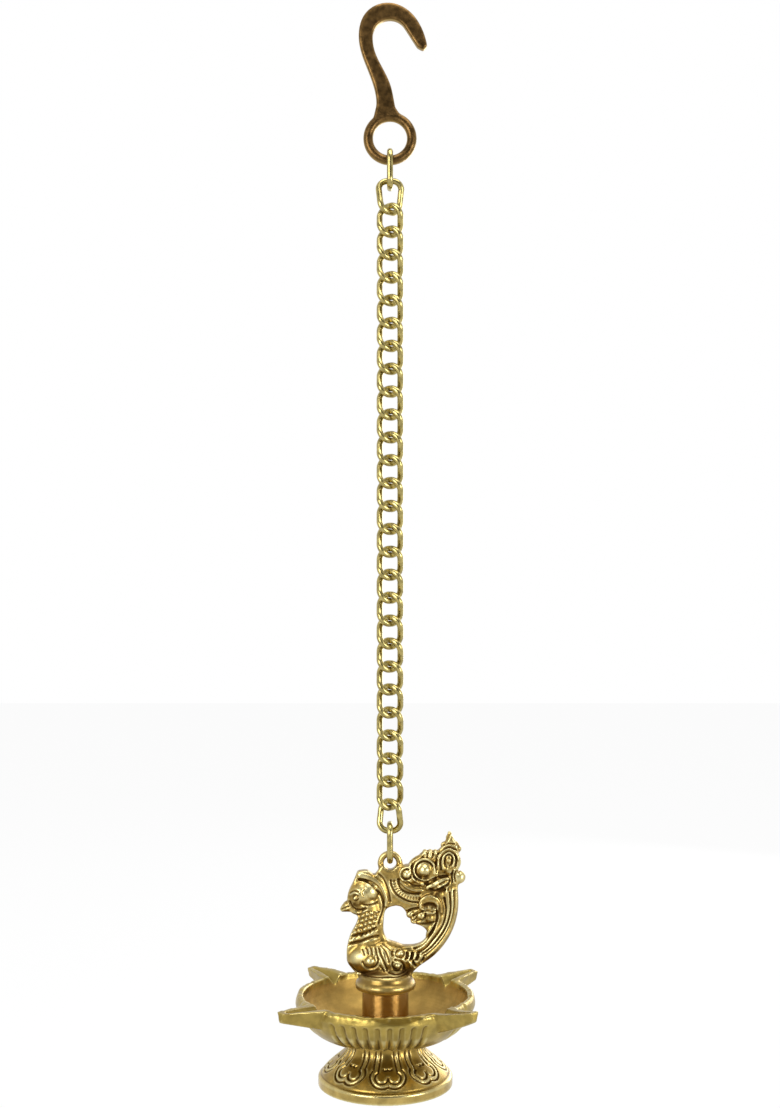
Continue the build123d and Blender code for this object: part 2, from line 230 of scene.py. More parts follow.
def points_of(piece):
    """Vertex places and normals as arrays."""
    count = len(piece.data.vertices)
    places = np.empty(count * 3)
    normals = np.empty(count * 3)
    piece.data.vertices.foreach_get("co", places)
    piece.data.vertices.foreach_get("normal", normals)
    return places.reshape(-1, 3), normals.reshape(-1, 3)


def move_points(piece, places):
    """Sets the vertex places."""
    piece.data.vertices.foreach_set("co", places.reshape(-1).astype(np.float32))
    piece.data.update()


def smoothed(places, edges, passes):
    """Places after averaging each with its neighbours."""
    count = len(places)
    degree = np.bincount(edges.reshape(-1), minlength=count)[:, None]
    for _ in range(passes):
        total = np.zeros_like(places)
        for axis in range(3):
            total[:, axis] = np.bincount(edges[:, 0], places[edges[:, 1], axis], count)
            total[:, axis] += np.bincount(edges[:, 1], places[edges[:, 0], axis], count)
        places = (places + total / np.maximum(degree, 1)) / 2
    return places


def polar(places):
    """Distance of each place from the lamp's axis, and its angle round it from the right towards the back."""
    across = places[:, 0] - AXIS_X
    return np.hypot(across, places[:, 1]), np.arctan2(places[:, 1], across)


def ramp(values, start, end):
    """0 up to the start, 1 from the end on and evenly between. The end may lie below the start."""
    return np.clip((values - start) / (end - start), 0, 1)


def hump(gap, width, power=2):
    """1 where there is no gap, falling smoothly away over the width."""
    return np.exp(-((gap / width) ** power))


def edges_of(piece):
    """Vertex numbers of the two ends of each edge."""
    edges = np.empty(len(piece.data.edges) * 2, np.int32)
    piece.data.edges.foreach_get("vertices", edges)
    return edges.reshape(-1, 2)


def mark_recesses(piece, passes, full_depth, pooled_and_shade=0.0, polish_and_highlight=0.0):
    """Stores for the patina how deep each point lies in a line, how proud on an edge, and how deep in a hollow.

    Patina is also thick where it has pooled, and the same shares carry painted shade and a painted dark reflection; it
    is thin where the surface has been polished, and there painted highlights join the edges.
    """
    places, normals = points_of(piece)
    edges = edges_of(piece)
    soft = smoothed(places, edges, passes)
    depth = np.einsum("ij,ij->i", soft - places, normals) / full_depth
    # A hollow is wider than a line, so it shows against a form that is smoothed much further
    wide = smoothed(soft, edges, 6 * passes)
    hollow = np.einsum("ij,ij->i", wide - places, normals) / (3 * full_depth)
    # Lines are kept in red, edges in green and hollows in blue
    colours = np.ones((len(places), 4), np.float32)
    # Painted shade and painted dark reflections join the lines and hollows through the pooled share, and painted
    # highlights join the edges through the polished share
    colours[:, 0] = np.clip(depth + 0.8 * pooled_and_shade, 0, 1)
    colours[:, 1] = np.clip(polish_and_highlight - depth, 0, 1)
    colours[:, 2] = np.clip(hollow + pooled_and_shade - polish_and_highlight, 0, 1)
    layer = piece.data.color_attributes.new("recess", "FLOAT_COLOR", "POINT")
    layer.data.foreach_set("color", colours.reshape(-1))


def curve_through(points, spacing):
    """Evenly spaced places on a smooth curve through the points."""
    points = [np.array(point, float) for point in points]
    padded = [2 * points[0] - points[1]] + points + [2 * points[-1] - points[-2]]
    places = []
    for p0, p1, p2, p3 in zip(padded, padded[1:], padded[2:], padded[3:]):
        steps = max(2, int(np.linalg.norm(p2 - p1) / spacing))
        for t in np.arange(steps) / steps:
            places.append(
                0.5 * (2 * p1 + (p2 - p0) * t + (2 * p0 - 5 * p1 + 4 * p2 - p3) * t**2
                       + (3 * p1 - p0 - 3 * p2 + p3) * t**3)
            )
    places.append(points[-1])
    return np.array(places)


def spiral(centre, outer, inner, start, turns):
    """Points of a spiral that winds in from its outer radius. Positive turns run anticlockwise."""
    points_to_a_turn = 16
    steps = int(abs(turns) * points_to_a_turn)
    points = []
    for step in range(steps + 1):
        share = step / steps
        radius = outer + (inner - outer) * share
        angle = math.radians(start) + 2 * math.pi * turns * share
        points.append((centre[0] + radius * math.cos(angle), centre[1] + radius * math.sin(angle)))
    return points


def distance_to(curve, flat):
    """Distance from each flat place to the nearest segment of a curve, and the run along it there."""
    best = np.full(len(flat), 1e9)
    along = np.zeros(len(flat))
    run = 0.0
    for start, end in zip(curve, curve[1:]):
        step = end - start
        length = float(np.linalg.norm(step))
        if length == 0:
            continue
        share = np.clip(((flat - start) @ step) / length**2, 0, 1)
        gap = np.linalg.norm(flat - start - share[:, None] * step, axis=1)
        nearer = gap < best
        best[nearer] = gap[nearer]
        along[nearer] = run + share[nearer] * length
        run += length
    return best, along


# Materials

def add(tree, kind, inputs=None, **values):
    """Adds a node with its settings and its inputs. Each input is a value or another node's socket."""
    node = tree.nodes.new(kind)
    for name, value in values.items():
        if hasattr(node, name):
            setattr(node, name, value)
        else:
            node.inputs[name.replace("_", " ")].default_value = value
    for name, source in (inputs or {}).items():
        if hasattr(source, "is_output"):
            tree.links.new(source, node.inputs[name])
        else:
            node.inputs[name].default_value = source
    return node


def calculated(tree, operation, *inputs):
    """The result of a Math node on inputs that are values or sockets."""
    return add(tree, "ShaderNodeMath", dict(enumerate(inputs)), operation=operation).outputs[0]


def start_material(name):
    """A new material with its tree, its shader and its Object coordinates."""
    material = bpy.data.materials.new(name)
    material.use_nodes = True
    tree = material.node_tree
    shader = tree.nodes["Principled BSDF"]
    shader.inputs["Metallic"].default_value = 1.0
    coordinates = add(tree, "ShaderNodeTexCoord").outputs["Object"]
    return material, tree, shader, coordinates


def colour_mix(tree, factor, low, high):
    """Blends two colours by a factor; each is a value or a socket. The node takes its colours in inputs 6 and 7."""
    return add(tree, "ShaderNodeMix", {0: factor, 6: low, 7: high}, data_type="RGBA").outputs[2]


def ranged(tree, value, low, high, to_low, to_high):
    """Maps a value from one range to another."""
    inputs = {"Value": value, "From Min": low, "From Max": high, "To Min": to_low, "To Max": to_high}
    return add(tree, "ShaderNodeMapRange", inputs).outputs[0]


def noise(tree, place, size, detail):
    """Smooth noise with lumps of about the given size, in metres."""
    return add(tree, "ShaderNodeTexNoise", {"Vector": place}, Scale=1 / size, Detail=detail).outputs[0]


def metal(name, colour, roughness, patina_and_shade=None, wear_and_highlight=None, mottle=4.0, grain=0.5, grain_height=0.02, tint=0.18):
    """Brass: colour that drifts a little over the piece, grain in the gloss, patina and painted shade in recesses,
    worn edges and painted highlights.

    Mottle and grain are sizes in millimetres, and so is the height of the grain. A piece with patina carries
    the recess attribute. On one without, the edges are where the surface turns away from the flat faces; their
    pale colour is rubbed brass and also a painted highlight.
    """
    material, tree, shader, place = start_material(name)
    colour = tuple(colour)
    darker = tuple(channel * (1 - 2 * tint) for channel in colour[:3]) + (1.0,)
    drift = noise(tree, place, mottle * MM, 4.0)
    base = colour_mix(tree, ranged(tree, drift, 0.35, 0.65, 0, 1), darker, colour)
    fine = noise(tree, place, grain * MM, 3.0)
    rough = ranged(tree, fine, 0.3, 0.7, roughness * 0.8, roughness * 1.25)
    if patina_and_shade:
        recess = add(tree, "ShaderNodeVertexColor", layer_name="recess").outputs[0]
        line, edge, hollow = add(tree, "ShaderNodeSeparateColor", {"Color": recess}).outputs
        brown = tuple(0.6 * dark + 0.4 * bright for dark, bright in zip(patina_and_shade, colour))
        # Patina lies thicker in some places than in others
        cloud = noise(tree, place, 2.2 * mottle * MM, 3.0)
        base = colour_mix(tree, ranged(tree, cloud, 0.48, 0.72, 0, 0.6), base, brown)
        # It browns the hollows, and blackens the deepest lines, where the metal is dull; painted shade and painted
        # dark reflections come in through the same channels
        base = colour_mix(tree, ranged(tree, hollow, 0.05, 0.60, 0, 0.9), base, brown)
        base = colour_mix(tree, ranged(tree, line, 0.06, 0.45, 0, 1), base, brown)
        deep = ranged(tree, line, 0.45, 1.1, 0, 1)
        base = colour_mix(tree, deep, base, tuple(patina_and_shade))
        rough = ranged(tree, deep, 0, 1, roughness, 0.6)
        edge = ranged(tree, edge, 0.15, 0.90, 0, 0.7)
    else:
        # Painted highlight and rubbed brass: edges that turn away from the flat faces get the pale colour
        normal = tree.nodes["Texture Coordinate"].outputs["Normal"]
        across = add(tree, "ShaderNodeSeparateXYZ", {"Vector": normal}).outputs["Y"]
        edge = ranged(tree, calculated(tree, "ABSOLUTE", across), 0.8, 0.3, 0, 0.8)
    # Pale brass on the edges: wear, with painted highlights where the masks carry them
    if wear_and_highlight:
        base = colour_mix(tree, edge, base, tuple(wear_and_highlight))
    tree.links.new(base, shader.inputs["Base Color"])
    tree.links.new(rough, shader.inputs["Roughness"])
    bump = add(tree, "ShaderNodeBump", {"Height": fine}, Strength=0.6, Distance=grain_height * MM)
    tree.links.new(bump.outputs[0], shader.inputs["Normal"])
    return material


def turn_marks(material, pitch, height, flat):
    """Adds the fine rings that a lathe tool leaves: stacked up a post, or spreading over a flat hollow."""
    tree = material.node_tree
    place = tree.nodes["Texture Coordinate"].outputs["Object"]
    place = add(tree, "ShaderNodeMapping", {"Vector": place, "Location": (-AXIS_X, 0, 0)})
    # A wave node has ten bands to a radian of its scaled coordinate
    wave = add(tree, "ShaderNodeTexWave", {"Vector": place.outputs[0]}, Scale=math.pi / (10 * pitch), Distortion=0.4)
    wave.wave_type = "RINGS" if flat else "BANDS"
    wave.bands_direction = wave.rings_direction = "Z"
    inputs = {"Height": wave.outputs["Fac"], "Normal": tree.nodes["Bump"].outputs[0], "Distance": height}
    bump = add(tree, "ShaderNodeBump", inputs)
    tree.links.new(bump.outputs[0], tree.nodes["Principled BSDF"].inputs["Normal"])
    return material


def give(piece, *materials):
    """Sets the piece's materials."""
    piece.data.materials.clear()
    for material in materials:
        piece.data.materials.append(material)


def settle(piece, body, slot, *nodes):
    """Lets a finished piece ride on its body and stand for its CAD nodes."""
    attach(piece, body)
    if nodes:
        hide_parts(*nodes)


class LAMP_OT_hook(bpy.types.Operator):
    """Finish the cast hook"""

    bl_idname = "lamp.hook"
    bl_label = "Hook"

    def execute(self, context):
        sizes, finish = settings(LampHook), settings(LampFinish)
        # Antique brass: browned by a bath after casting, so it is dark, with soft gloss, and its edges paler as rubbed
        # brass and as painted highlights
        brass = metal(
            "antique_brass", finish.hook, roughness=0.36, wear_and_highlight=finish.hook_rubbed_and_highlight, mottle=3, grain=0.8, tint=0.3
        )
        hook = piece_from(welded_copy("hook"), "hook_casting")
        recast(hook, sizes.voxel, sizes.softness)
        give(hook, brass)
        settle(hook, "hook", "antique_brass_hook", "hook")
        return {"FINISHED"}


class LAMP_OT_chain(bpy.types.Operator):
    """Finish the links of drawn wire"""

    bl_idname = "lamp.chain"
    bl_label = "Chain"

    def execute(self, context):
        # Drawn brass wire, tumbled bright: a pale yellow with a slight green
        wire = metal("drawn_brass", settings(LampFinish).chain, roughness=0.24, mottle=2.5, tint=0.2)
        for name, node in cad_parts.items():
            if "link" in name:
                give(node, wire)
        return {"FINISHED"}


# The peacock's drawing, in millimetres across and up from the lug's centre, as the photograph's view shows
# it. Both faces are alike. Its lines and places were set one by one.
# Grooves: half width, depth, then the points of the line
GROOVES = [
    # Head and the smooth arch round it
    (0.50, 0.9, [(-16.5, -8.7), (-13, -9.1), (-10, -10.6), (-7.5, -12.9), (-5.5, -15.6), (-4.1, -18.8), (-3.5, -21.5),
                 (-3.7, -25), (-4.6, -28.5), (-5.6, -31.0)]),
    (0.50, 0.8, [(-7.6, -4.7), (-5.3, -6.3), (-3.6, -8.2), (-2.4, -10.5), (-1.4, -13), (-0.6, -16), (0.1, -20)]),
    (0.65, 0.9, [(-21.0, -20.2), (-19.6, -22.6), (-17.6, -24.2), (-15.0, -24.5), (-12.6, -23.6)]),
    (0.40, 0.45, [(-13.4, -13.4), (-14.5, -15.2), (-13.9, -17.2)]),
    (0.45, 0.7, [(-15.2, -21.6), (-12.4, -22.0), (-9.2, -21.6), (-6.4, -20.4)]),
    (0.35, 0.5, spiral((-17.9, -18.3), 1.6, 1.5, 30, 0.9)),
    (0.40, 0.6, [(-20.8, -15.4), (-18.6, -14.2), (-16.6, -14.9)]),
    (0.40, 0.6, [(-25.6, -23.9), (-23.4, -23.2), (-21.2, -22.6)]),
    # Bands round the foot of the neck
    (0.65, 1.1, [(-22.5, -39.1), (-17, -37.4), (-12, -36), (-9, -34.9), (-7.4, -33.9)]),
    (0.60, 1.0, [(-22.8, -42.4), (-18, -41.2), (-13, -39.6), (-9, -38.5), (-6.3, -38.0)]),
    # Fan of the wing
    (0.40, 0.8, [(-14.4, -44.9), (-13.9, -46.2), (-13.4, -47.4)]),
    (0.40, 0.8, [(-12.2, -44.2), (-11.7, -45.6), (-11.4, -46.9)]),
    (0.40, 0.8, [(-10.0, -43.8), (-9.6, -45.6), (-9.2, -47.4)]),
    (0.45, 0.9, [(-7.6, -43.6), (-7.0, -46.4), (-5.9, -50.2)]),
    (0.50, 1.0, [(-5.8, -43.6), (-4.4, -48), (-2.9, -52), (-1.4, -55.4)]),
    (0.45, 0.8, [(-4.6, -42.8), (-2.2, -45.4), (-0.9, -49), (-0.4, -51.6)]),
    (0.45, 0.8, [(-3.6, -41.9), (-1.6, -43.2), (0.4, -44.9)]),
    (0.40, 0.7, [(-5.2, -53.4), (-4.4, -54.6), (-3.0, -55.8)]),
    (0.45, 0.9, spiral((-10.2, -50.7), 4.1, 3.9, 190, 0.55)),
    (0.45, 0.9, spiral((3.9, -52.9), 2.6, 2.2, 150, 0.55)),
    (0.55, 1.0, [(2.8, -50.2), (5.4, -50.6), (7.3, -52.8), (7.2, -56.0)]),
    (0.40, 0.7, spiral((5.4, -46.9), 2.4, 2.3, 100, 0.8)),
    # Gaps between the tufts behind the wing
    (0.70, 1.2, [(1.4, -45.4), (1.2, -46.6), (1.6, -47.6)]),
    (0.55, 1.1, [(8.9, -46.4), (9.0, -48.0), (8.4, -49.6)]),
    (0.50, 1.1, [(11.6, -46.6), (11.5, -48.2), (10.8, -49.8)]),
    (0.50, 1.1, [(14.5, -46.8), (14.3, -48.4), (13.6, -50.0)]),
    (0.50, 1.0, [(17.9, -47.6), (17.6, -49.2), (16.8, -50.8)]),
    (0.50, 0.9, [(12.0, -50.8), (12.4, -52.2), (13.2, -53.4)]),
    # Under the body
    (0.70, 1.2, [(-20.8, -53.0), (-18.5, -55.6), (-14.5, -58.0), (-9, -59.3), (-2, -59.6), (4, -58.9), (9, -57.0)]),
    (0.50, 0.9, [(-0.4, -56.4), (2.4, -57.4), (5.6, -57.2), (8.0, -55.8)]),
    # Long feathers of the tail
    (0.62, 1.3, [(24.2, -23.4), (24.6, -28), (23.5, -32), (21.8, -35.6), (19.2, -39.2), (16.4, -41.9), (12.5, -44.2)]),
    (0.62, 1.3, [(28.0, -18.5), (28.7, -25), (27.5, -31), (25, -35.5), (21.5, -40), (18, -44.0), (14.6, -46.0)]),
    (0.58, 1.2, [(31.0, -15.5), (31.4, -24), (30.3, -30), (28, -35), (24.5, -40), (20.5, -44.5), (16.4, -47.2)]),
    (0.52, 1.1, [(33.4, -14.5), (33.6, -22), (32.6, -28.5), (30.4, -34.5), (27, -39.8), (22.8, -44.4), (18.6, -48.0)]),
    # Arm with beads
    (0.50, 1.0, [(4.2, -8.6), (4.3, -11), (5.6, -13.6), (8.4, -15.4), (11.8, -16.1), (15.4, -16.0)]),
    (0.50, 1.0, [(0.4, -9.2), (0.9, -12.4), (3.0, -16.0), (6.6, -18.6), (10.6, -20.2), (15.2, -20.6)]),
    (0.45, 0.8, [(8.8, -9.8), (11.8, -11.7), (15.6, -12.2)]),
    # Scrolls at the top
    (0.45, 0.9, [(24.2, -4.8), (23.8, -1), (24.6, 3), (27.0, 6.6), (30.6, 8.2), (34.6, 6.8)]),
    (0.45, 0.9, [(26.4, -3.8), (26.0, 0.2), (27.1, 4.0), (30.2, 6.2), (33.2, 4.9), (34.5, 1.6), (34.0, -2.0)]),
    (0.42, 0.8, [(29.4, -2.6), (28.4, 0.4), (29.0, 3.2), (30.8, 4.2), (32.2, 2.6), (32.0, -0.2), (30.8, -1.8)]),
    # Round the leaves between the scrolls, and the dark pockets under them
    (0.50, 0.9, [(18.4, -10.8), (21.0, -9.2), (24.0, -7.9), (27.2, -6.9), (30.0, -6.8)]),
    (1.20, 1.2, [(20.8, -14.4), (23.0, -14.9), (25.6, -14.6), (27.8, -13.4)]),
    (0.50, 0.9, [(28.6, -12.2), (30.2, -11.0), (31.2, -9.4)]),
    (1.15, 1.3, [(18.0, -22.2), (20.0, -21.6), (22.4, -21.9), (23.8, -23.0)]),
    (0.40, 0.7, [(16.8, -23.4), (18.8, -24.2), (21.4, -24.3), (23.6, -25.2)]),
    (0.45, 0.9, spiral((17.9, -3.7), 4.4, 4.5, 25, 0.62)),
    (0.45, 0.9, spiral((17.7, -3.5), 6.6, 6.3, 95, 0.46)),
    (0.40, 0.8, spiral((8.6, -6.0), 2.7, 2.6, 70, 0.80)),
    (0.45, 0.8, [(32.6, -3.8), (31.9, -6.6), (32.4, -10.0)]),
    (0.40, 0.8, [(34.2, -4.2), (33.5, -6.8), (34.0, -9.6)]),
    # Leaves under the inner scroll
    (0.50, 0.9, [(8.2, -25.4), (10.6, -24.2), (14.2, -23.3)]),
    (0.50, 0.9, [(12.2, -27.4), (14.8, -25.4), (18.6, -24.9), (22.4, -25.4)]),
    (0.50, 0.9, [(9.6, -29.2), (12.2, -29.6), (13.4, -28.0), (13.4, -26.6)]),
    (0.50, 0.9, [(12.8, -30.6), (16.4, -29.8), (18.4, -28.2), (18.6, -26.0)]),
    (0.50, 0.8, [(16.4, -31.8), (20.2, -31.4), (23.2, -30.6)]),
    # Crest over the middle scroll
    (0.45, 0.9, [(19.4, 3.0), (19.6, 6.8)]),
    (0.45, 0.9, [(22.0, 2.8), (22.6, 6.8)]),
    (0.45, 0.9, [(24.6, 2.4), (25.4, 6.4)]),
    (0.45, 0.8, [(27.6, 9.4), (30.4, 9.9), (33.8, 9.6)]),
]
# Hollows: centre, radius and depth, which is also how much patina pools there
HOLLOWS = [
    ((19.2, -22.2), 1.9, 0.9), ((22.0, -22.5), 1.9, 0.9), ((22.0, -14.7), 1.7, 0.9), ((24.4, -15.1), 1.8, 0.9),
    ((26.8, -14.2), 1.6, 0.9), ((30.4, -13.6), 1.1, 0.5), ((-18.9, -22.4), 1.6, 0.6), ((19.0, -8.0), 1.6, 0.4),
    ((28.6, -4.8), 1.3, 0.5),
    ((-17.6, -20.2), 1.4, 0.3), ((27.2, -24.0), 4.6, 0.4), ((26.4, -32.0), 4.4, 0.4), ((22.0, -39.6), 3.8, 0.35),
    ((30.4, 1.0), 3.4, 0.15), ((20.4, -28.6), 3.0, 0.25), ((14.0, -20.0), 2.6, 0.2), ((-8.6, -24.0), 2.6, 0.25),
]
# Raised strands: radius at each end, how proud it stands, then the points of the line
STRANDS = [
    (2.1, 0.9, 0.9, [(-15.4, -6.2), (-11, -7.3), (-7.4, -9.2), (-4.6, -12), (-2.9, -15.6), (-2.0, -19.0),
                     (-2.4, -22.0)]),
    (0.9, 0.8, 0.7, [(25.2, -4.0), (24.9, 0.2), (25.9, 4.2), (28.4, 6.7), (31.6, 7.2), (34.6, 5.2), (35.4, 2.0)]),
    (0.8, 0.7, 0.7, [(27.6, -3.0), (27.2, 0.6), (28.2, 3.8), (30.4, 5.2), (32.9, 3.6), (33.3, 0.8), (32.6, -1.8)]),
    (1.1, 0.9, 0.8, [(24.6, -7.4), (24.2, -5.4), (23.2, -3.0)]),
    (1.7, 0.9, 1.5, [(19.8, -12.9), (22.2, -11.5), (25.0, -9.8), (27.8, -8.6), (30.0, -8.2)]),
    (1.2, 0.7, 1.1, [(25.2, -12.6), (27.8, -11.3), (30.2, -9.9)]),
    (0.9, 0.8, 0.8, spiral((17.8, -3.6), 5.4, 5.3, -20, 0.85)),
    (0.8, 0.7, 0.6, spiral((17.6, -3.4), 7.5, 7.3, 95, 0.42)),
    (0.7, 0.6, 0.6, spiral((8.6, -6.0), 3.5, 3.4, 0, 0.75)),
    (1.0, 0.8, 0.8, [(15.9, -23.0), (16.0, -20.2), (18.0, -18.0), (21.2, -17.3), (24.4, -18.8), (26.2, -21.8),
                     (26.6, -25.6)]),
    (0.9, 0.7, 0.8, [(33.3, -3.8), (32.7, -6.8), (33.2, -10.0)]),
    (1.0, 0.8, 0.8, [(5.8, -9.6), (8.8, -12.6), (12.6, -14.1), (16.6, -14.2)]),
    (1.0, 0.8, 0.9, [(10.2, -46.6), (10.1, -48.2), (9.4, -49.8)]),
    (1.0, 0.8, 0.9, [(13.1, -46.8), (12.9, -48.4), (12.2, -50.0)]),
    (1.0, 0.8, 0.9, [(16.2, -47.4), (15.9, -49.0), (15.0, -50.8)]),
    (0.9, 0.7, 0.8, [(9.4, -50.8), (10.6, -52.0), (11.0, -53.4)]),
    (0.9, 0.7, 0.8, [(13.4, -51.2), (14.4, -52.0), (16.0, -51.8)]),
    (1.2, 0.5, 0.8, [(21.6, -33.0), (20.2, -35.4), (18.9, -38.2)]),
    (0.7, 0.5, 0.6, [(-20.4, -16.4), (-18.3, -15.4), (-16.4, -16.2)]),
]
# Lumps: centre, radius and how proud each stands
LUMPS = [
    ((-11.6, -14.6), 6.5, 0.5), ((17.9, -3.7), 3.6, 2.0), ((8.6, -6.0), 2.2, 1.4), ((30.4, 1.2), 1.4, 0.9),
    ((17.0, -10.6), 1.6, 0.8), ((10.4, -26.4), 2.1, 1.2), ((16.0, -27.2), 2.5, 1.3), ((20.6, -28.2), 2.9, 1.2),
    ((12.4, -29.6), 1.9, 1.0), ((-10.2, -50.7), 3.2, 1.1), ((5.4, -46.8), 1.7, 1.2), ((3.9, -53.0), 1.6, 1.0),
    ((-18.0, -18.4), 1.0, 0.7), ((18.2, 5.0), 1.3, 0.7), ((20.8, 5.2), 1.3, 0.7), ((23.6, 5.0), 1.3, 0.7),
]
# Painted highlights, in pale brass where the light catches the figure: centre and radius
PAINTED_HIGHLIGHTS = [
    ((-10.8, -14.4), 5.0), ((-13.4, -6.4), 2.6), ((17.4, -2.4), 3.0), ((8.4, -5.4), 2.2), ((36.2, -7.0), 3.2),
    ((-17.4, -48.6), 3.4), ((-10.2, -51.2), 1.6), ((4.8, -52.6), 1.6), ((5.4, -46.8), 1.4), ((20.0, 5.0), 2.4),
    ((-6.0, -13.6), 1.8), ((13.0, -51.6), 2.0), ((25.4, -10.2), 2.4),
]
# Balls in the middle plane: centre and radius
BALLS = [
    ((36.1, -7.0), 3.1), ((30.9, 15.4), 1.1), ((30.8, 13.2), 1.9), ((30.8, 10.9), 2.3), ((28.2, 9.2), 2.0),
    ((33.6, 9.4), 2.2), ((35.2, 7.4), 1.9), ((18.2, 5.2), 1.7), ((20.8, 5.5), 1.7), ((23.6, 5.4), 1.7),
    ((-21.6, -22.3), 3.0), ((-23.2, -23.1), 2.2), ((-24.4, -23.8), 1.5), ((-20.0, -22.0), 3.4),
]
# The arm of beads: its line, the run from bead to bead, half its width and the depth of the nicks between beads
BEAD_ARM = [(2.2, -9.6), (2.7, -12.2), (4.6, -15.2), (8.0, -17.2), (11.6, -18.2), (15.0, -18.4)]
BEAD_PITCH = 1.45
BEAD_REACH = 1.1
BEAD_DEPTH = 0.45
# The drawing is left out this near the lug's centre, in millimetres, and up to this far over the flange
LUG_CLEAR = 7.0
FLANGE_CLEAR = 0.3 * MM


class LAMP_OT_figure(bpy.types.Operator):
    """Cast and chase the peacock"""

    bl_idname = "lamp.figure"
    bl_label = "Peacock"

    def execute(self, context):
        sizes = settings(LampFigure)
        figure = piece_from(welded_copy("peacock"), "peacock_casting")
        recast(figure, sizes.body_voxel, sizes.body_softness)
        self.raise_forms(figure)
        recast(figure, sizes.fine_voxel, sizes.fine_softness)
        pooled_and_shade, polish_and_highlight = self.chase(figure)
        mark_recesses(figure, passes=14, full_depth=0.28 * MM, pooled_and_shade=pooled_and_shade, polish_and_highlight=polish_and_highlight)
        finish = settings(LampFinish)
        # Cast brass, blackened and then buffed: bright on the high points and where highlights are painted,
        # brown-black in the recesses and in the painted shade over the flange
        brass = metal(
            "chased_cast_brass", finish.figure, roughness=0.33, patina_and_shade=finish.patina_and_shade, wear_and_highlight=finish.wear_and_highlight, mottle=2.4,
            grain=0.8, tint=0.24,
        )
        give(figure, brass)
        settle(figure, "lamp", "cast_brass_figure", "peacock")
        return {"FINISHED"}

    def raise_forms(self, figure):
        """Lays strands and lumps on both faces of the softened casting."""
        bm = bmesh.new()
        bm.from_mesh(figure.data)
        tree = BVHTree.FromBMesh(bm)
        for start, end, proud, points in STRANDS:
            line = curve_through(points, 0.45)
            for place, (across, up) in enumerate(line):
                radius = start + (end - start) * place / len(line)
                self.ball_on(bm, tree, across, up, radius, proud, 1)
        for (across, up), radius, proud in LUMPS:
            self.ball_on(bm, tree, across, up, radius, proud, 3)
        for (across, up), radius in BALLS:
            place = Vector((across * MM, 0, LUG_Z + up * MM))
            bmesh.ops.create_icosphere(bm, subdivisions=3, radius=radius * MM, matrix=Matrix.Translation(place))
        bm.to_mesh(figure.data)
        bm.free()

    def ball_on(self, bm, tree, across, up, radius, proud, subdivisions):
        """Sets a ball into both faces of the casting, where the view shows it, with only its top proud."""
        for side in (-1, 1):
            eye = Vector((0, side * VIEW_DISTANCE, VIEW_HEIGHT))
            sight = (Vector((across * MM, 0, LUG_Z + up * MM)) - eye).normalized()
            hit = tree.ray_cast(eye, sight)[0]
            if hit is None:
                continue
            centre = hit + sight * (radius - proud) * MM
            bmesh.ops.create_icosphere(
                bm, subdivisions=subdivisions, radius=radius * MM, matrix=Matrix.Translation(centre)
            )

    def seen(self, places):
        """Millimetres across and up from the lug at which the view shows each place, from the nearer side."""
        scale = VIEW_DISTANCE / (VIEW_DISTANCE - np.abs(places[:, 1]))
        across = places[:, 0] * scale
        up = (places[:, 2] - VIEW_HEIGHT) * scale + VIEW_HEIGHT - LUG_Z
        return np.stack([across, up], axis=1) / MM

    def chase(self, figure):
        """Cuts the drawing into both faces, and says where patina pools, where shade is painted over the flange and
        where highlights are painted.
        """
        places, normals = points_of(figure)
        flat = self.seen(places)
        height, pooled_and_shade, polish_and_highlight = np.zeros(len(places)), np.zeros(len(places)), np.zeros(len(places))
        for width, depth, points in GROOVES:
            gap, _ = distance_to(curve_through(points, 1.0), flat)
            height = np.minimum(height, -depth * hump(gap, width))
        for centre, radius, depth in HOLLOWS:
            gap = np.linalg.norm(flat - np.array(centre), axis=1)
            height = np.minimum(height, -depth * hump(gap, radius))
            pooled_and_shade = np.maximum(pooled_and_shade, depth * hump(gap, radius, 4))
        # Painted highlights: pale brass where the light catches the figure
        for centre, radius in PAINTED_HIGHLIGHTS:
            gap = np.linalg.norm(flat - np.array(centre), axis=1)
            polish_and_highlight = np.maximum(polish_and_highlight, 0.7 * hump(gap, radius))
        gap, along = distance_to(curve_through(BEAD_ARM, 0.5), flat)
        nick = (0.5 + 0.5 * np.cos(2 * math.pi * along / BEAD_PITCH)) ** 2
        height -= BEAD_DEPTH * nick * ramp(gap, BEAD_REACH, BEAD_REACH - 0.5)
        height += self.scales(flat)
        facing = np.clip(np.abs(normals[:, 1]) * 1.8 - 0.3, 0, 1)
        facing[places[:, 2] < FLANGE_TOP + FLANGE_CLEAR] = 0
        facing[np.hypot(flat[:, 0], flat[:, 1]) < LUG_CLEAR] = 0
        # Painted shade: patina brown fills the crease where the body meets the flange, and a lighter brown covers the
        # flange below it
        above = (places[:, 2] - FLANGE_TOP) / MM
        crease_shade = 1.2 * hump(above - 1.3, 2.2) + 0.3 * (above < -1)
        move_points(figure, places + normals * (height * facing * MM)[:, None])
        return np.maximum(pooled_and_shade * facing, crease_shade), polish_and_highlight * facing

    def scales(self, flat):
        """Height of the small feathers on the neck, in staggered rows that follow its bands."""
        # Millimetres from row to row and from feather to feather, and the slope of the rows
        row, column, tilt = 2.3, 2.6, math.radians(18)
        along = flat[:, 0] * math.cos(tilt) + flat[:, 1] * math.sin(tilt)
        down = -flat[:, 0] * math.sin(tilt) + flat[:, 1] * math.cos(tilt)
        stagger = (np.floor(down / row) % 2) * column / 2
        across = (along + stagger) % column - column / 2
        up = down % row - row * 0.55
        # Each feather is a round bump that stands on a sunken ground
        feather, ground = 0.75, 0.45
        bump = feather * np.exp(-((across**2 + up**2) / 0.8)) - ground
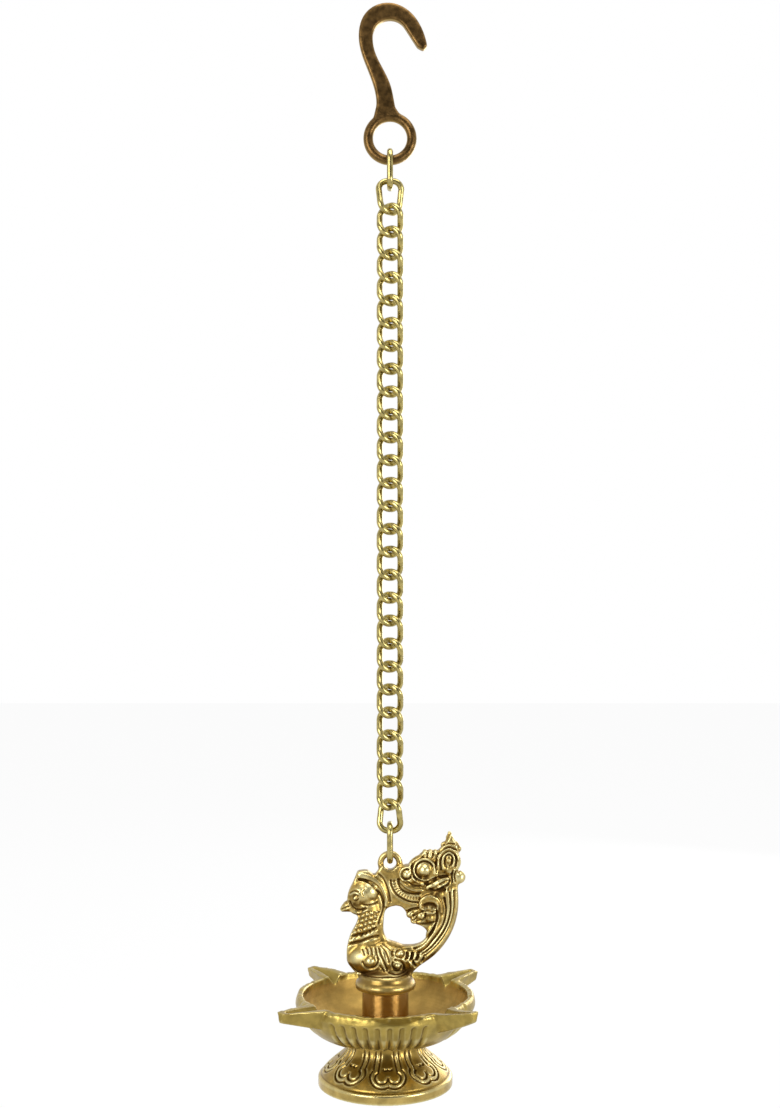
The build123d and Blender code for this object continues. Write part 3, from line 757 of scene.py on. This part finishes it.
        # They fill the neck between the arch behind it, the throat and the bands at its foot
        arch = np.interp(-flat[:, 1], [20, 25, 28.5, 31.5, 36], [-4.8, -5.2, -6.4, -7.8, -8.4])
        throat = np.minimum(-25.0, -25.8 - 1.1 * (-16.5 - flat[:, 0]))
        bands = -31.6
        neck = (flat[:, 0] < arch) & (down > bands) & (flat[:, 1] < throat)
        return np.where(neck, bump, 0)


# Flutes outside the bowl, nine between two spouts: degrees from one to the next, then in millimetres how high they
# rise over the bowl's foot, half their width, and the half width and depth of the fine line down their middle
FLUTE_STEP = 7.6
FLUTE_RISE = 10.6
FLUTE_HALF = 2.4
LINE_HALF = 0.55
LINE_DEPTH = 0.35
# The flutes start this far from the axis
FLUTE_START = 20 * MM
# The band that is filed back under the rim: its height, and how many degrees it stays clear of a spout
BAND_HEIGHT = 5.5 * MM
BAND_CLEAR = 14
# The crescent of painted dark reflection under the front of the rim, in degrees round the axis and millimetres below
# the rim
CRESCENT_MIDDLE = -82
CRESCENT_HALF = 19
CRESCENT_DEPTH = 3.6
# How far the tip of the front right spout is bent up, and the rear tips are bent down and cut short, in millimetres
FRONT_LIFT = 2.6
REAR_DROP = 1.6
REAR_SHORT = 3.6
# Waves round the hand-finished rim: share of the unevenness, waves to a turn, and where they start
RIM_WAVES = ((0.5, 9, 0.6), (0.35, 17, 2.1), (0.25, 31, 4.0), (0.2, 53, 1.0), (0.15, 83, 3.0))


class LAMP_OT_bowl(bpy.types.Operator):
    """Cast the bowl with its flutes and wick spouts"""

    bl_idname = "lamp.bowl"
    bl_label = "Bowl"

    def execute(self, context):
        sizes = settings(LampBowl)
        bowl = piece_from(welded_copy("bowl"), "bowl_casting")
        recast(bowl, sizes.voxel, sizes.softness)
        pooled_and_shade, polish_and_highlight = self.narrow_flutes(bowl)
        dark_reflection = self.hand_finish_and_dark_reflection(bowl, sizes)
        # The flute lines take patina, and the crescent takes a painted dark reflection
        mark_recesses(bowl, passes=12, full_depth=0.8 * MM, pooled_and_shade=pooled_and_shade + dark_reflection, polish_and_highlight=polish_and_highlight)
        finish = settings(LampFinish)
        # Sand cast brass, wire brushed to a satin yellow, with edges polished by handling, and a painted dark
        # reflection under the front rim
        outside = metal(
            "sand_cast_brass", finish.bowl, roughness=0.34, patina_and_shade=finish.bowl_patina_and_reflection, wear_and_highlight=finish.wear_and_highlight, mottle=5,
            grain=0.7, grain_height=0.05, tint=0.14,
        )
        # The hollow is turned on a lathe and left unpolished, so it is duller and browner
        inside = metal("turned_hollow_brass", finish.hollow, roughness=0.5, mottle=5, grain=0.4, tint=0.12)
        turn_marks(inside, pitch=1.2 * MM, height=0.02 * MM, flat=True)
        give(bowl, outside, inside)
        floor = BOWL_LOW.z + 3 * MM
        for face in bowl.data.polygons:
            reach = math.hypot(face.center.x - AXIS_X, face.center.y)
            if reach < MOUTH_RADIUS and face.normal.z > -0.2 and face.center.z > floor:
                face.material_index = 1
        settle(bowl, "lamp", "cast_brass_bowl", "bowl")
        return {"FINISHED"}

    def narrow_flutes(self, bowl):
        """Softens the flutes' flanks and cuts a fine line down the middle of each, where patina pools."""
        places, normals = points_of(bowl)
        reach, angle = polar(places)
        # Degrees from the middle between two spouts, and millimetres from the nearest flute's middle
        turn = (np.degrees(angle) + BOWL_TURN + 45) % 90 - 45
        nearest = np.clip(np.round(turn / FLUTE_STEP), -4, 4) * FLUTE_STEP
        off = np.radians(np.abs(turn - nearest)) * reach / MM
        rise = (places[:, 2] - BOWL_LOW.z) / MM
        outside = ramp(-normals[:, 2], 0, 0.25) * ramp(rise, FLUTE_RISE, FLUTE_RISE - 1.2) * ramp(rise, 0, 0.8)
        outside *= reach > FLUTE_START
        soft = smoothed(places, edges_of(bowl), passes=22)
        near = outside * ramp(off, FLUTE_HALF, FLUTE_HALF - 1)
        line = outside * hump(off, LINE_HALF)
        places += (soft - places) * near[:, None] - normals * (LINE_DEPTH * MM * line)[:, None]
        move_points(bowl, places)
        # The ridges between the flutes are rubbed bright
        ridges = ramp(off, 0.8, 1.8) * ramp(off, FLUTE_HALF + 1, FLUTE_HALF)
        return 1.3 * line, 0.45 * outside * ridges

    def hand_finish_and_dark_reflection(self, bowl, sizes):
        """Files the band back between the spouts and leaves the rim uneven; says where a dark reflection is painted
        under the front rim.
        """
        places, normals = points_of(bowl)
        reach, angle = polar(places)
        outward = np.stack([places[:, 0] - AXIS_X, places[:, 1]], axis=1) / reach[:, None]
        facing = ramp((normals[:, :2] * outward).sum(axis=1), 0, 0.5)
        quarter = math.pi / 2
        first_spout = math.radians(45 - BOWL_TURN)
        from_spout = np.degrees(np.abs((angle - first_spout + quarter / 2) % quarter - quarter / 2))
        band = ramp(places[:, 2], RIM_Z - BAND_HEIGHT, RIM_Z - MM) * ramp(from_spout, BAND_CLEAR, BAND_CLEAR + 6)
        band *= facing * ramp(reach, BOWL_RADIUS - 4 * MM, BOWL_RADIUS - 2 * MM)
        places[:, :2] -= outward * (band * sizes.band_slope)[:, None]
        # Painted dark reflection: an olive crescent darkens the band under the front of the rim
        front = (np.degrees(angle) - CRESCENT_MIDDLE) / CRESCENT_HALF
        below = (RIM_Z - places[:, 2]) / MM
        dark_reflection = 1.3 * ramp(CRESCENT_DEPTH * (1 - front**2) - below, 0, 0.7) * facing * (reach > 41 * MM)
        # The rim's edge wanders a little, as a file leaves it
        wave = sum(size * np.sin(count * angle + start) for size, count, start in RIM_WAVES)
        near = ramp(places[:, 2], RIM_Z - 3 * MM, RIM_Z) * ramp(reach, 39 * MM, 42 * MM)
        places += normals * (wave * near * sizes.unevenness)[:, None]
        # The front right spout is bent up a little, and the two at the back are shorter and lower
        out = ramp(reach, BOWL_RADIUS, SPOUT_REACH)
        right_front = (places[:, 0] > AXIS_X) & (places[:, 1] < 0)
        back = places[:, 1] > 0
        places[:, 2] += out**1.5 * (FRONT_LIFT * right_front - REAR_DROP * back) * MM
        places[:, :2] -= outward * (REAR_SHORT * MM * out * back)[:, None]
        move_points(bowl, places)
        return dark_reflection


# Height of the foot's polished rim
FOOT_RIM = 5.4 * MM
# The shoulder where the petals end: its height over the foot's base, and how far it stands in from the foot's edge
SHOULDER_RISE = 6.2 * MM
SHOULDER_INSET = 1.8 * MM


class LAMP_OT_foot(bpy.types.Operator):
    """Chase lotus petals on the foot"""

    bl_idname = "lamp.foot"
    bl_label = "Foot"

    def execute(self, context):
        sizes = settings(LampFoot)
        foot = piece_from(welded_copy("foot"), "foot_casting")
        recast(foot, sizes.voxel, sizes.softness)
        places, normals = points_of(foot)
        height = self.petal_grooves(places, sizes)
        outward = np.clip(normals[:, 2] * 3 + 0.4, 0, 1)
        radial = (normals[:, 0] * (places[:, 0] - AXIS_X) + normals[:, 1] * places[:, 1]) > 0
        move_points(foot, places - normals * (height * outward * radial)[:, None])
        mark_recesses(foot, passes=14, full_depth=0.26 * MM)
        finish = settings(LampFinish)
        # Cast brass, browned over the petals and polished on a wheel along the rim
        petals = metal(
            "browned_cast_brass", finish.foot, roughness=0.32, patina_and_shade=finish.patina_and_shade, wear_and_highlight=finish.wear_and_highlight, mottle=4,
            grain=0.7,
        )
        rim = metal(
            "polished_cast_brass", finish.foot_rim, roughness=0.25, patina_and_shade=finish.bowl_patina_and_reflection, wear_and_highlight=finish.wear_and_highlight,
            mottle=6, grain=0.7,
        )
        give(foot, petals, rim)
        for face in foot.data.polygons:
            face.material_index = int(face.center.z < FOOT_LOW.z + FOOT_RIM)
        settle(foot, "lamp", "polished_brass_foot", "foot")
        return {"FINISHED"}

    def petal_grooves(self, places, sizes):
        """Depth of the petals' double outlines at each point, in metres. Below zero it is raised."""
        reach, angle = polar(places)
        shoulder_radius, shoulder = FOOT_RADIUS - SHOULDER_INSET, FOOT_LOW.z + SHOULDER_RISE
        run = np.hypot(reach - shoulder_radius, places[:, 2] - shoulder) / MM - 1.2
        # One petal faces the front, 3 degrees to the right
        step = 2 * math.pi / sizes.petals
        turn = (angle + math.pi / 2 - math.radians(3) + step / 2) % step - step / 2
        across = np.abs(turn) * reach / MM
        # A petal is a tongue that widens downwards and ends in two round lobes
        lobe_run, lobe_across, lobe_radius = 6.4, 3.4, 3.2
        strip = np.maximum(across - (6.5 - 0.17 * run), lobe_run - run)
        lobes = np.hypot(across - lobe_across, run - lobe_run) - lobe_radius
        inner = np.minimum(strip, lobes)
        # A second line runs round it, with a raised strip between the two
        width, second = sizes.groove_width / MM, 2.5
        depth = np.maximum(hump(inner, width), hump(inner - second, width))
        depth -= 0.45 * hump(inner - second / 2, 0.7)
        # A small curl stands at the petal's root
        curl = np.hypot(across - 1.1, run - 11.5)
        depth = np.maximum(depth, 0.7 * hump(curl - 1.0, 0.4) * (run < 11.6))
        within = (places[:, 2] > shoulder + 0.3 * MM) & (places[:, 2] < FOOT_HIGH.z - MM)
        return depth * within * sizes.groove_depth


class LAMP_OT_turned(bpy.types.Operator):
    """Finish the turned post and the fasteners"""

    bl_idname = "lamp.turned"
    bl_label = "Post and fasteners"

    def execute(self, context):
        finish = settings(LampFinish)
        # Turned brass, browned: fine rings from the tool draw the highlights out into upright streaks
        post = metal("lathe_turned_brass", finish.post, roughness=0.2, mottle=8, tint=0.08)
        give(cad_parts["post"], turn_marks(post, pitch=0.6 * MM, height=0.08 * MM, flat=False))
        # Zinc plated steel: grey, slightly blue and dull
        steel = metal("zinc_plated_steel", finish.steel, roughness=0.35, mottle=2, tint=0.06)
        for name in ("tie_stud", "washer", "nut"):
            give(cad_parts[name], steel)
        return {"FINISHED"}


class LAMP_OT_stage(bpy.types.Operator):
    """Set up the floor, backdrop, lights and camera"""

    bl_idname = "lamp.stage"
    bl_label = "Studio"

    def execute(self, context):
        sizes = settings(LampStage)
        self.floor(FOOT_LOW.z - sizes.floor_gap)
        self.world(context.scene)
        middle = Vector((0, 0, sizes.eye_height))
        # Name, place from the middle of the view, size and power
        lamps = (
            ("key", (-0.75, -0.95, 0.25), 0.7, 11.0),
            ("fill", (0.95, -0.75, 0.0), 0.5, 8.0),
            ("top", (0.1, -0.15, 0.75), 0.6, 5.0),
            ("back", (0.5, 0.9, 0.1), 0.6, 4.0),
        )
        for name, place, size, power in lamps:
            light = bpy.data.lights.new(name, "AREA")
            light.size = size
            light.energy = power
            lamp = bpy.data.objects.new(name, light)
            lamp.location = middle + Vector(place)
            lamp.rotation_euler = (middle - lamp.location).to_track_quat("-Z", "Y").to_euler()
            context.scene.collection.objects.link(lamp)
        self.camera(context.scene, sizes)
        context.scene.view_settings.view_transform = "Standard"
        return {"FINISHED"}

    def floor(self, height):
        """A pale floor that keeps the shadow and is white to the camera and in reflections."""
        bm = bmesh.new()
        bmesh.ops.create_grid(bm, x_segments=1, y_segments=1, size=3.0, matrix=Matrix.Translation((0, 0, height)))
        floor = piece_from(bm, "studio_floor")
        material = bpy.data.materials.new("matt_white_paint")
        material.use_nodes = True
        tree = material.node_tree
        tree.nodes.clear()
        rays = add(tree, "ShaderNodeLightPath").outputs
        seen = calculated(tree, "MAXIMUM", rays["Is Camera Ray"], rays["Is Glossy Ray"])
        paint = add(tree, "ShaderNodeBsdfDiffuse", Color=linear("#F4F4F4"))
        glow = add(tree, "ShaderNodeEmission", Color=(1.0, 1.0, 1.0, 1.0), Strength=1.0)
        share = calculated(tree, "MULTIPLY", seen, 0.93)
        mix = add(tree, "ShaderNodeMixShader", {0: share, 1: paint.outputs[0], 2: glow.outputs[0]})
        add(tree, "ShaderNodeOutputMaterial", {"Surface": mix.outputs[0]})
        give(floor, material)

    def world(self, scene):
        """White behind the lamp, also in reflections, with a dim room behind the camera and plain soft light."""
        world = bpy.data.worlds.new("studio")
        world.use_nodes = True
        scene.world = world
        tree = world.node_tree
        tree.nodes.clear()
        rays = add(tree, "ShaderNodeLightPath").outputs
        seen = calculated(tree, "MAXIMUM", rays["Is Camera Ray"], rays["Is Transmission Ray"])
        direction = add(tree, "ShaderNodeTexCoord").outputs["Generated"]
        back = add(tree, "ShaderNodeSeparateXYZ", {"Vector": direction}).outputs["Y"]
        room = calculated(tree, "MULTIPLY", rays["Is Glossy Ray"], ranged(tree, back, -0.95, 0.1, 0.2, 1.0))
        soft = calculated(tree, "MULTIPLY", rays["Is Diffuse Ray"], 0.55)
        strength = calculated(tree, "MAXIMUM", calculated(tree, "MAXIMUM", seen, room), soft)
        sky = add(tree, "ShaderNodeBackground", {"Strength": strength}, Color=(1.0, 1.0, 1.0, 1.0))
        add(tree, "ShaderNodeOutputWorld", {"Surface": sky.outputs[0]})

    def camera(self, scene, sizes):
        """The photograph's level view, with the lamp in the middle of the frame."""
        # In the photograph's pixels: its height, the row of the horizon and the focal length
        frame_height, horizon, focal = 1108, 575, 1500
        data = bpy.data.cameras.new("camera")
        data.sensor_fit = "VERTICAL"
        data.sensor_height = 36.0
        data.lens = data.sensor_height * focal / frame_height
        camera = bpy.data.objects.new("camera", data)
        camera.location = (0, -sizes.distance, sizes.eye_height)
        pitch = math.atan((horizon - frame_height / 2) / focal)
        camera.rotation_euler = (math.pi / 2 + pitch, 0, 0)
        scene.collection.objects.link(camera)
        scene.camera = camera


OPERATORS = (
    LAMP_OT_hook, LAMP_OT_chain, LAMP_OT_figure, LAMP_OT_turned, LAMP_OT_bowl, LAMP_OT_foot, LAMP_OT_stage,
)


class LAMP_PT_panel(bpy.types.Panel):
    """Lists the lamp's pieces"""

    bl_idname = "LAMP_PT_panel"
    bl_label = "Oil lamp"
    bl_space_type = "VIEW_3D"
    bl_region_type = "UI"
    bl_category = "Lamp"

    def draw(self, context):
        for operator in OPERATORS:
            self.layout.operator(operator.bl_idname)
        for kind in SETTINGS:
            box = self.layout.box()
            group = getattr(context.scene, kind.__name__.lower())
            for name in kind.__annotations__:
                box.prop(group, name)


def register():
    """Registers the settings, operators and panel."""
    for kind in SETTINGS + OPERATORS + (LAMP_PT_panel,):
        bpy.utils.register_class(kind)
    for kind in SETTINGS:
        setattr(bpy.types.Scene, kind.__name__.lower(), PointerProperty(type=kind))


def unregister():
    """Removes what register added."""
    for kind in SETTINGS:
        delattr(bpy.types.Scene, kind.__name__.lower())
    for kind in reversed(SETTINGS + OPERATORS + (LAMP_PT_panel,)):
        bpy.utils.unregister_class(kind)


def main():
    """Builds every piece."""
    register()
    for operator in OPERATORS:
        getattr(bpy.ops.lamp, operator.bl_idname.split(".")[1])()


if __name__ == "__main__":
    main()
